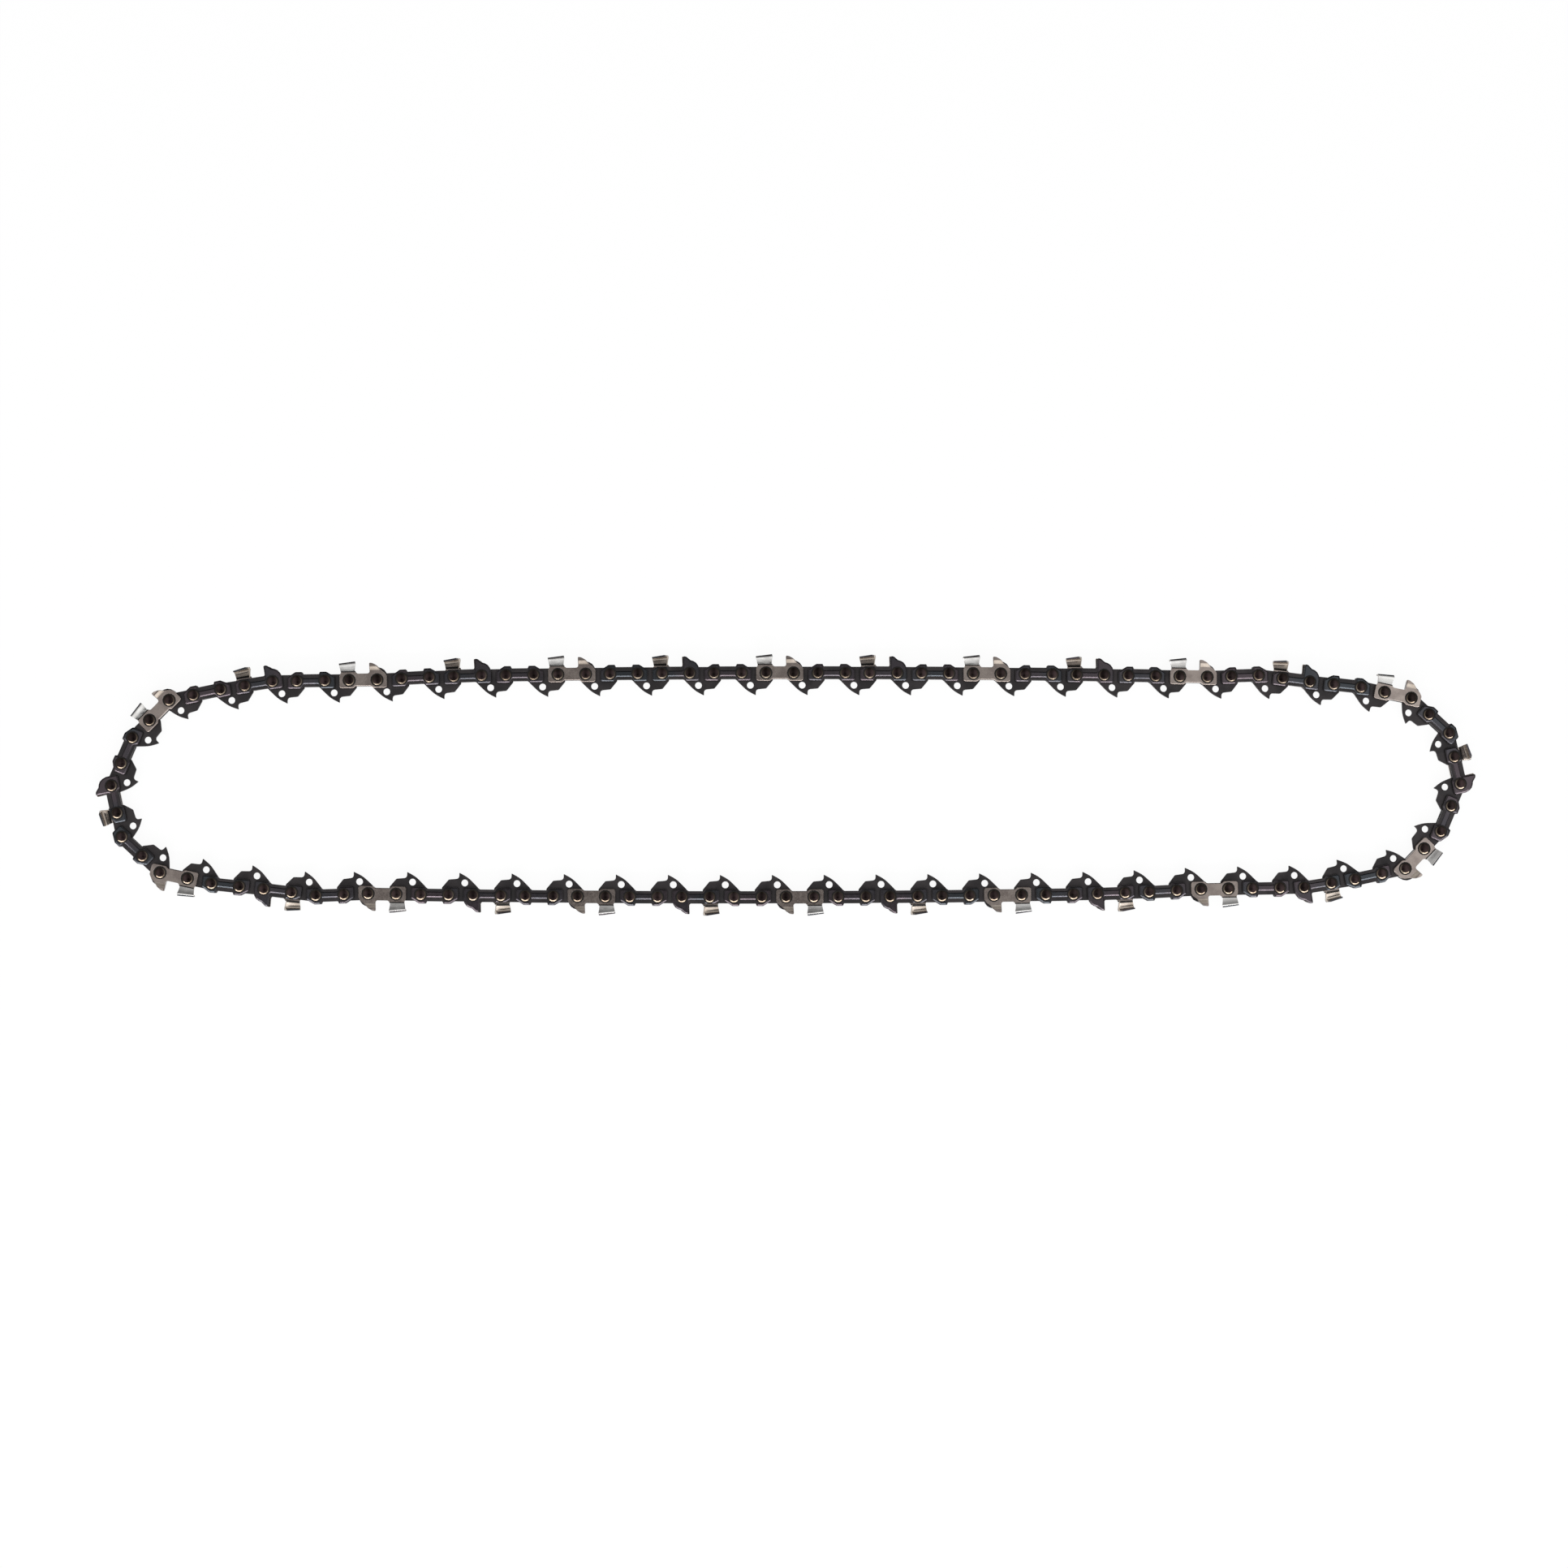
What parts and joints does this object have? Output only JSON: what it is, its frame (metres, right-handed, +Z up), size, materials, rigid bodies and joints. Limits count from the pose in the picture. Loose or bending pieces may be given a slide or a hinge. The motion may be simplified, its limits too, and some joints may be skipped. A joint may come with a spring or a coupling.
{
  "type": "chainsaw chain loop",
  "caption": "Closed loop of saw chain lying flat: drive links with hooked tangs, riveted tie straps, and chrome-edged cutters on alternate sides with bumper straps opposite.",
  "frame": {"origin": "middle of the loop, on the surface that it lies on", "axes": "+X along the loop's long runs, +Y across the loop, +Z up, along the rivets"},
  "size_m": [0.495, 0.0938, 0.0045],
  "materials": {
    "cutter_link": "satin bright cutter with chrome-plated edge on dark blued links",
    "tie_link": "blued and oiled"
  },
  "bodies": {
    "link_01": {"link_01_right_cutter": "cutter_link"},
    "link_02": {"link_02_tie": "tie_link"},
    "link_03": {"link_03_left_cutter": "cutter_link"},
    "link_04": {"link_04_tie": "tie_link"},
    "link_05": {"link_05_right_cutter": "cutter_link"},
    "link_06": {"link_06_tie": "tie_link"},
    "link_07": {"link_07_left_cutter": "cutter_link"},
    "link_08": {"link_08_tie": "tie_link"},
    "link_09": {"link_09_right_cutter": "cutter_link"},
    "link_10": {"link_10_tie": "tie_link"},
    "link_11": {"link_11_left_cutter": "cutter_link"},
    "link_12": {"link_12_tie": "tie_link"},
    "link_13": {"link_13_right_cutter": "cutter_link"},
    "link_14": {"link_14_tie": "tie_link"},
    "link_15": {"link_15_left_cutter": "cutter_link"},
    "link_16": {"link_16_tie": "tie_link"},
    "link_17": {"link_17_right_cutter": "cutter_link"},
    "link_18": {"link_18_tie": "tie_link"},
    "link_19": {"link_19_left_cutter": "cutter_link"},
    "link_20": {"link_20_tie": "tie_link"},
    "link_21": {"link_21_right_cutter": "cutter_link"},
    "link_22": {"link_22_tie": "tie_link"},
    "link_23": {"link_23_left_cutter": "cutter_link"},
    "link_24": {"link_24_tie": "tie_link"},
    "link_25": {"link_25_right_cutter": "cutter_link"},
    "link_26": {"link_26_tie": "tie_link"},
    "link_27": {"link_27_left_cutter": "cutter_link"},
    "link_28": {"link_28_tie": "tie_link"},
    "link_29": {"link_29_right_cutter": "cutter_link"},
    "link_30": {"link_30_tie": "tie_link"},
    "link_31": {"link_31_left_cutter": "cutter_link"},
    "link_32": {"link_32_tie": "tie_link"},
    "link_33": {"link_33_right_cutter": "cutter_link"},
    "link_34": {"link_34_tie": "tie_link"},
    "link_35": {"link_35_left_cutter": "cutter_link"},
    "link_36": {"link_36_tie": "tie_link"},
    "link_37": {"link_37_right_cutter": "cutter_link"},
    "link_38": {"link_38_tie": "tie_link"},
    "link_39": {"link_39_left_cutter": "cutter_link"},
    "link_40": {"link_40_tie": "tie_link"},
    "link_41": {"link_41_right_cutter": "cutter_link"},
    "link_42": {"link_42_tie": "tie_link"},
    "link_43": {"link_43_left_cutter": "cutter_link"},
    "link_44": {"link_44_tie": "tie_link"},
    "link_45": {"link_45_right_cutter": "cutter_link"},
    "link_46": {"link_46_tie": "tie_link"},
    "link_47": {"link_47_left_cutter": "cutter_link"},
    "link_48": {"link_48_tie": "tie_link"},
    "link_49": {"link_49_right_cutter": "cutter_link"},
    "link_50": {"link_50_tie": "tie_link"},
    "link_51": {"link_51_left_cutter": "cutter_link"},
    "link_52": {"link_52_tie": "tie_link"},
    "link_53": {"link_53_right_cutter": "cutter_link"},
    "link_54": {"link_54_tie": "tie_link"},
    "link_55": {"link_55_left_cutter": "cutter_link"},
    "link_56": {"link_56_tie": "tie_link"}
  },
  "joints": [
    {"name": "rivet_50", "type": "hinge", "parent": "link_50", "child": "link_51", "pos_m": [0.02006, 0.0402, 0.00225], "axis": [0, 0, -1], "range_deg": [-0.86, 5.2]},
    {"name": "rivet_51", "type": "hinge", "parent": "link_51", "child": "link_52", "pos_m": [0.0387, 0.04015, 0.00225], "axis": [0, 0, -1], "range_deg": [-0.86, 5.2]},
    {"name": "rivet_52", "type": "hinge", "parent": "link_52", "child": "link_53", "pos_m": [0.05734, 0.04004, 0.00225], "axis": [0, 0, -1], "range_deg": [-0.86, 5.2]},
    {"name": "rivet_53", "type": "hinge", "parent": "link_53", "child": "link_54", "pos_m": [0.07598, 0.03988, 0.00225], "axis": [0, 0, -1], "range_deg": [-0.86, 5.2]},
    {"name": "rivet_54", "type": "hinge", "parent": "link_54", "child": "link_55", "pos_m": [0.09462, 0.03967, 0.00225], "axis": [0, 0, -1], "range_deg": [-0.86, 5.2]},
    {"name": "rivet_55", "type": "hinge", "parent": "link_55", "child": "link_56", "pos_m": [0.11326, 0.03942, 0.00225], "axis": [0, 0, -1], "range_deg": [-0.86, 5.2]},
    {"name": "rivet_56", "type": "hinge", "parent": "link_56", "child": "link_01", "pos_m": [0.1319, 0.03911, 0.00225], "axis": [0, 0, -1], "range_deg": [-0.86, 5.2]},
    {"name": "rivet_01", "type": "hinge", "parent": "link_01", "child": "link_02", "pos_m": [0.15053, 0.03875, 0.00225], "axis": [0, 0, -1], "range_deg": [-0.86, 5.2]},
    {"name": "rivet_02", "type": "hinge", "parent": "link_02", "child": "link_03", "pos_m": [0.16916, 0.03937, 0.00225], "axis": [0, 0, -1], "range_deg": [-0.86, 5.2]},
    {"name": "rivet_03", "type": "hinge", "parent": "link_03", "child": "link_04", "pos_m": [0.18766, 0.03706, 0.00225], "axis": [0, 0, -1], "range_deg": [-0.86, 5.2]},
    {"name": "rivet_04", "type": "hinge", "parent": "link_04", "child": "link_05", "pos_m": [0.20619, 0.03508, 0.00225], "axis": [0, 0, -1], "range_deg": [-0.86, 5.2]},
    {"name": "rivet_05", "type": "hinge", "parent": "link_05", "child": "link_06", "pos_m": [0.22442, 0.03118, 0.00225], "axis": [0, 0, -1], "range_deg": [-23.92, 3.96]},
    {"name": "rivet_06", "type": "hinge", "parent": "link_06", "child": "link_07", "pos_m": [0.23803, 0.01844, 0.00225], "axis": [0, 0, -1], "range_deg": [-23.92, 3.96]},
    {"name": "rivet_07", "type": "hinge", "parent": "link_07", "child": "link_08", "pos_m": [0.24187, 0.0002, 0.00225], "axis": [0, 0, -1], "range_deg": [-23.92, 3.96]},
    {"name": "rivet_08", "type": "hinge", "parent": "link_08", "child": "link_09", "pos_m": [0.23456, -0.01695, 0.00225], "axis": [0, 0, -1], "range_deg": [-23.92, 3.96]},
    {"name": "rivet_09", "type": "hinge", "parent": "link_09", "child": "link_10", "pos_m": [0.22159, -0.03033, 0.00225], "axis": [0, 0, -1], "range_deg": [-23.92, 3.96]},
    {"name": "rivet_10", "type": "hinge", "parent": "link_10", "child": "link_11", "pos_m": [0.20335, -0.03417, 0.00225], "axis": [0, 0, -1], "range_deg": [-0.86, 5.2]},
    {"name": "rivet_11", "type": "hinge", "parent": "link_11", "child": "link_12", "pos_m": [0.18493, -0.03706, 0.00225], "axis": [0, 0, -1], "range_deg": [-0.86, 5.2]},
    {"name": "rivet_12", "type": "hinge", "parent": "link_12", "child": "link_13", "pos_m": [0.1663, -0.03735, 0.00225], "axis": [0, 0, -1], "range_deg": [-0.86, 5.2]},
    {"name": "rivet_13", "type": "hinge", "parent": "link_13", "child": "link_14", "pos_m": [0.14766, -0.03764, 0.00225], "axis": [0, 0, -1], "range_deg": [-0.86, 5.2]},
    {"name": "rivet_14", "type": "hinge", "parent": "link_14", "child": "link_15", "pos_m": [0.12904, -0.03859, 0.00225], "axis": [0, 0, -1], "range_deg": [-0.86, 5.2]},
    {"name": "rivet_15", "type": "hinge", "parent": "link_15", "child": "link_16", "pos_m": [0.11041, -0.03921, 0.00225], "axis": [0, 0, -1], "range_deg": [-0.86, 5.2]},
    {"name": "rivet_16", "type": "hinge", "parent": "link_16", "child": "link_17", "pos_m": [0.09177, -0.0395, 0.00225], "axis": [0, 0, -1], "range_deg": [-0.86, 5.2]},
    {"name": "rivet_17", "type": "hinge", "parent": "link_17", "child": "link_18", "pos_m": [0.07314, -0.03974, 0.00225], "axis": [0, 0, -1], "range_deg": [-0.86, 5.2]},
    {"name": "rivet_18", "type": "hinge", "parent": "link_18", "child": "link_19", "pos_m": [0.0545, -0.03993, 0.00225], "axis": [0, 0, -1], "range_deg": [-0.86, 5.2]},
    {"name": "rivet_19", "type": "hinge", "parent": "link_19", "child": "link_20", "pos_m": [0.03586, -0.04008, 0.00225], "axis": [0, 0, -1], "range_deg": [-0.86, 5.2]},
    {"name": "rivet_20", "type": "hinge", "parent": "link_20", "child": "link_21", "pos_m": [0.01722, -0.04017, 0.00225], "axis": [0, 0, -1], "range_deg": [-0.86, 5.2]},
    {"name": "rivet_49", "type": "hinge", "parent": "link_50", "child": "link_49", "pos_m": [0.00142, 0.04021, 0.00225], "axis": [0, 0, 1], "range_deg": [-0.86, 5.2]},
    {"name": "rivet_48", "type": "hinge", "parent": "link_49", "child": "link_48", "pos_m": [-0.01722, 0.04017, 0.00225], "axis": [0, 0, 1], "range_deg": [-0.86, 5.2]},
    {"name": "rivet_47", "type": "hinge", "parent": "link_48", "child": "link_47", "pos_m": [-0.03586, 0.04008, 0.00225], "axis": [0, 0, 1], "range_deg": [-0.86, 5.2]},
    {"name": "rivet_46", "type": "hinge", "parent": "link_47", "child": "link_46", "pos_m": [-0.0545, 0.03993, 0.00225], "axis": [0, 0, 1], "range_deg": [-0.86, 5.2]},
    {"name": "rivet_45", "type": "hinge", "parent": "link_46", "child": "link_45", "pos_m": [-0.07314, 0.03974, 0.00225], "axis": [0, 0, 1], "range_deg": [-0.86, 5.2]},
    {"name": "rivet_44", "type": "hinge", "parent": "link_45", "child": "link_44", "pos_m": [-0.09177, 0.0395, 0.00225], "axis": [0, 0, 1], "range_deg": [-0.86, 5.2]},
    {"name": "rivet_43", "type": "hinge", "parent": "link_44", "child": "link_43", "pos_m": [-0.11041, 0.03921, 0.00225], "axis": [0, 0, 1], "range_deg": [-0.86, 5.2]},
    {"name": "rivet_42", "type": "hinge", "parent": "link_43", "child": "link_42", "pos_m": [-0.12904, 0.03859, 0.00225], "axis": [0, 0, 1], "range_deg": [-0.86, 5.2]},
    {"name": "rivet_41", "type": "hinge", "parent": "link_42", "child": "link_41", "pos_m": [-0.14766, 0.03764, 0.00225], "axis": [0, 0, 1], "range_deg": [-0.86, 5.2]},
    {"name": "rivet_40", "type": "hinge", "parent": "link_41", "child": "link_40", "pos_m": [-0.1663, 0.03735, 0.00225], "axis": [0, 0, 1], "range_deg": [-0.86, 5.2]},
    {"name": "rivet_39", "type": "hinge", "parent": "link_40", "child": "link_39", "pos_m": [-0.18493, 0.03706, 0.00225], "axis": [0, 0, 1], "range_deg": [-0.86, 5.2]},
    {"name": "rivet_38", "type": "hinge", "parent": "link_39", "child": "link_38", "pos_m": [-0.20335, 0.03417, 0.00225], "axis": [0, 0, 1], "range_deg": [-0.86, 5.2]},
    {"name": "rivet_37", "type": "hinge", "parent": "link_38", "child": "link_37", "pos_m": [-0.22159, 0.03033, 0.00225], "axis": [0, 0, 1], "range_deg": [-23.92, 3.96]},
    {"name": "rivet_36", "type": "hinge", "parent": "link_37", "child": "link_36", "pos_m": [-0.23456, 0.01695, 0.00225], "axis": [0, 0, 1], "range_deg": [-23.92, 3.96]},
    {"name": "rivet_35", "type": "hinge", "parent": "link_36", "child": "link_35", "pos_m": [-0.24187, -0.0002, 0.00225], "axis": [0, 0, 1], "range_deg": [-23.92, 3.96]},
    {"name": "rivet_34", "type": "hinge", "parent": "link_35", "child": "link_34", "pos_m": [-0.23803, -0.01844, 0.00225], "axis": [0, 0, 1], "range_deg": [-23.92, 3.96]},
    {"name": "rivet_33", "type": "hinge", "parent": "link_34", "child": "link_33", "pos_m": [-0.22442, -0.03118, 0.00225], "axis": [0, 0, 1], "range_deg": [-23.92, 3.96]},
    {"name": "rivet_32", "type": "hinge", "parent": "link_33", "child": "link_32", "pos_m": [-0.20619, -0.03508, 0.00225], "axis": [0, 0, 1], "range_deg": [-0.86, 5.2]},
    {"name": "rivet_31", "type": "hinge", "parent": "link_32", "child": "link_31", "pos_m": [-0.18766, -0.03706, 0.00225], "axis": [0, 0, 1], "range_deg": [-0.86, 5.2]},
    {"name": "rivet_30", "type": "hinge", "parent": "link_31", "child": "link_30", "pos_m": [-0.16916, -0.03937, 0.00225], "axis": [0, 0, 1], "range_deg": [-0.86, 5.2]},
    {"name": "rivet_29", "type": "hinge", "parent": "link_30", "child": "link_29", "pos_m": [-0.15053, -0.03875, 0.00225], "axis": [0, 0, 1], "range_deg": [-0.86, 5.2]},
    {"name": "rivet_28", "type": "hinge", "parent": "link_29", "child": "link_28", "pos_m": [-0.1319, -0.03911, 0.00225], "axis": [0, 0, 1], "range_deg": [-0.86, 5.2]},
    {"name": "rivet_27", "type": "hinge", "parent": "link_28", "child": "link_27", "pos_m": [-0.11326, -0.03942, 0.00225], "axis": [0, 0, 1], "range_deg": [-0.86, 5.2]},
    {"name": "rivet_26", "type": "hinge", "parent": "link_27", "child": "link_26", "pos_m": [-0.09462, -0.03967, 0.00225], "axis": [0, 0, 1], "range_deg": [-0.86, 5.2]},
    {"name": "rivet_25", "type": "hinge", "parent": "link_26", "child": "link_25", "pos_m": [-0.07598, -0.03988, 0.00225], "axis": [0, 0, 1], "range_deg": [-0.86, 5.2]},
    {"name": "rivet_24", "type": "hinge", "parent": "link_25", "child": "link_24", "pos_m": [-0.05734, -0.04004, 0.00225], "axis": [0, 0, 1], "range_deg": [-0.86, 5.2]},
    {"name": "rivet_23", "type": "hinge", "parent": "link_24", "child": "link_23", "pos_m": [-0.0387, -0.04015, 0.00225], "axis": [0, 0, 1], "range_deg": [-0.86, 5.2]},
    {"name": "rivet_22", "type": "hinge", "parent": "link_23", "child": "link_22", "pos_m": [-0.02006, -0.0402, 0.00225], "axis": [0, 0, 1], "range_deg": [-0.86, 5.2]}
  ],
  "couplings": [
    {"joint": "rivet_51", "follows": "rivet_50", "ratio": 1},
    {"joint": "rivet_52", "follows": "rivet_50", "ratio": 1},
    {"joint": "rivet_53", "follows": "rivet_50", "ratio": 1},
    {"joint": "rivet_54", "follows": "rivet_50", "ratio": 1},
    {"joint": "rivet_55", "follows": "rivet_50", "ratio": 1},
    {"joint": "rivet_56", "follows": "rivet_50", "ratio": 1},
    {"joint": "rivet_01", "follows": "rivet_50", "ratio": 1},
    {"joint": "rivet_02", "follows": "rivet_50", "ratio": 1},
    {"joint": "rivet_03", "follows": "rivet_50", "ratio": 1},
    {"joint": "rivet_04", "follows": "rivet_50", "ratio": 1},
    {"joint": "rivet_05", "follows": "rivet_50", "ratio": -4.6},
    {"joint": "rivet_06", "follows": "rivet_50", "ratio": -4.6},
    {"joint": "rivet_07", "follows": "rivet_50", "ratio": -4.6},
    {"joint": "rivet_08", "follows": "rivet_50", "ratio": -4.6},
    {"joint": "rivet_09", "follows": "rivet_50", "ratio": -4.6},
    {"joint": "rivet_10", "follows": "rivet_50", "ratio": 1},
    {"joint": "rivet_11", "follows": "rivet_50", "ratio": 1},
    {"joint": "rivet_12", "follows": "rivet_50", "ratio": 1},
    {"joint": "rivet_13", "follows": "rivet_50", "ratio": 1},
    {"joint": "rivet_14", "follows": "rivet_50", "ratio": 1},
    {"joint": "rivet_15", "follows": "rivet_50", "ratio": 1},
    {"joint": "rivet_16", "follows": "rivet_50", "ratio": 1},
    {"joint": "rivet_17", "follows": "rivet_50", "ratio": 1},
    {"joint": "rivet_18", "follows": "rivet_50", "ratio": 1},
    {"joint": "rivet_19", "follows": "rivet_50", "ratio": 1},
    {"joint": "rivet_20", "follows": "rivet_50", "ratio": 1},
    {"joint": "rivet_49", "follows": "rivet_50", "ratio": 1},
    {"joint": "rivet_48", "follows": "rivet_50", "ratio": 1},
    {"joint": "rivet_47", "follows": "rivet_50", "ratio": 1},
    {"joint": "rivet_46", "follows": "rivet_50", "ratio": 1},
    {"joint": "rivet_45", "follows": "rivet_50", "ratio": 1},
    {"joint": "rivet_44", "follows": "rivet_50", "ratio": 1},
    {"joint": "rivet_43", "follows": "rivet_50", "ratio": 1},
    {"joint": "rivet_42", "follows": "rivet_50", "ratio": 1},
    {"joint": "rivet_41", "follows": "rivet_50", "ratio": 1},
    {"joint": "rivet_40", "follows": "rivet_50", "ratio": 1},
    {"joint": "rivet_39", "follows": "rivet_50", "ratio": 1},
    {"joint": "rivet_38", "follows": "rivet_50", "ratio": 1},
    {"joint": "rivet_37", "follows": "rivet_50", "ratio": -4.6},
    {"joint": "rivet_36", "follows": "rivet_50", "ratio": -4.6},
    {"joint": "rivet_35", "follows": "rivet_50", "ratio": -4.6},
    {"joint": "rivet_34", "follows": "rivet_50", "ratio": -4.6},
    {"joint": "rivet_33", "follows": "rivet_50", "ratio": -4.6},
    {"joint": "rivet_32", "follows": "rivet_50", "ratio": 1},
    {"joint": "rivet_31", "follows": "rivet_50", "ratio": 1},
    {"joint": "rivet_30", "follows": "rivet_50", "ratio": 1},
    {"joint": "rivet_29", "follows": "rivet_50", "ratio": 1},
    {"joint": "rivet_28", "follows": "rivet_50", "ratio": 1},
    {"joint": "rivet_27", "follows": "rivet_50", "ratio": 1},
    {"joint": "rivet_26", "follows": "rivet_50", "ratio": 1},
    {"joint": "rivet_25", "follows": "rivet_50", "ratio": 1},
    {"joint": "rivet_24", "follows": "rivet_50", "ratio": 1},
    {"joint": "rivet_23", "follows": "rivet_50", "ratio": 1},
    {"joint": "rivet_22", "follows": "rivet_50", "ratio": 1}
  ]
}
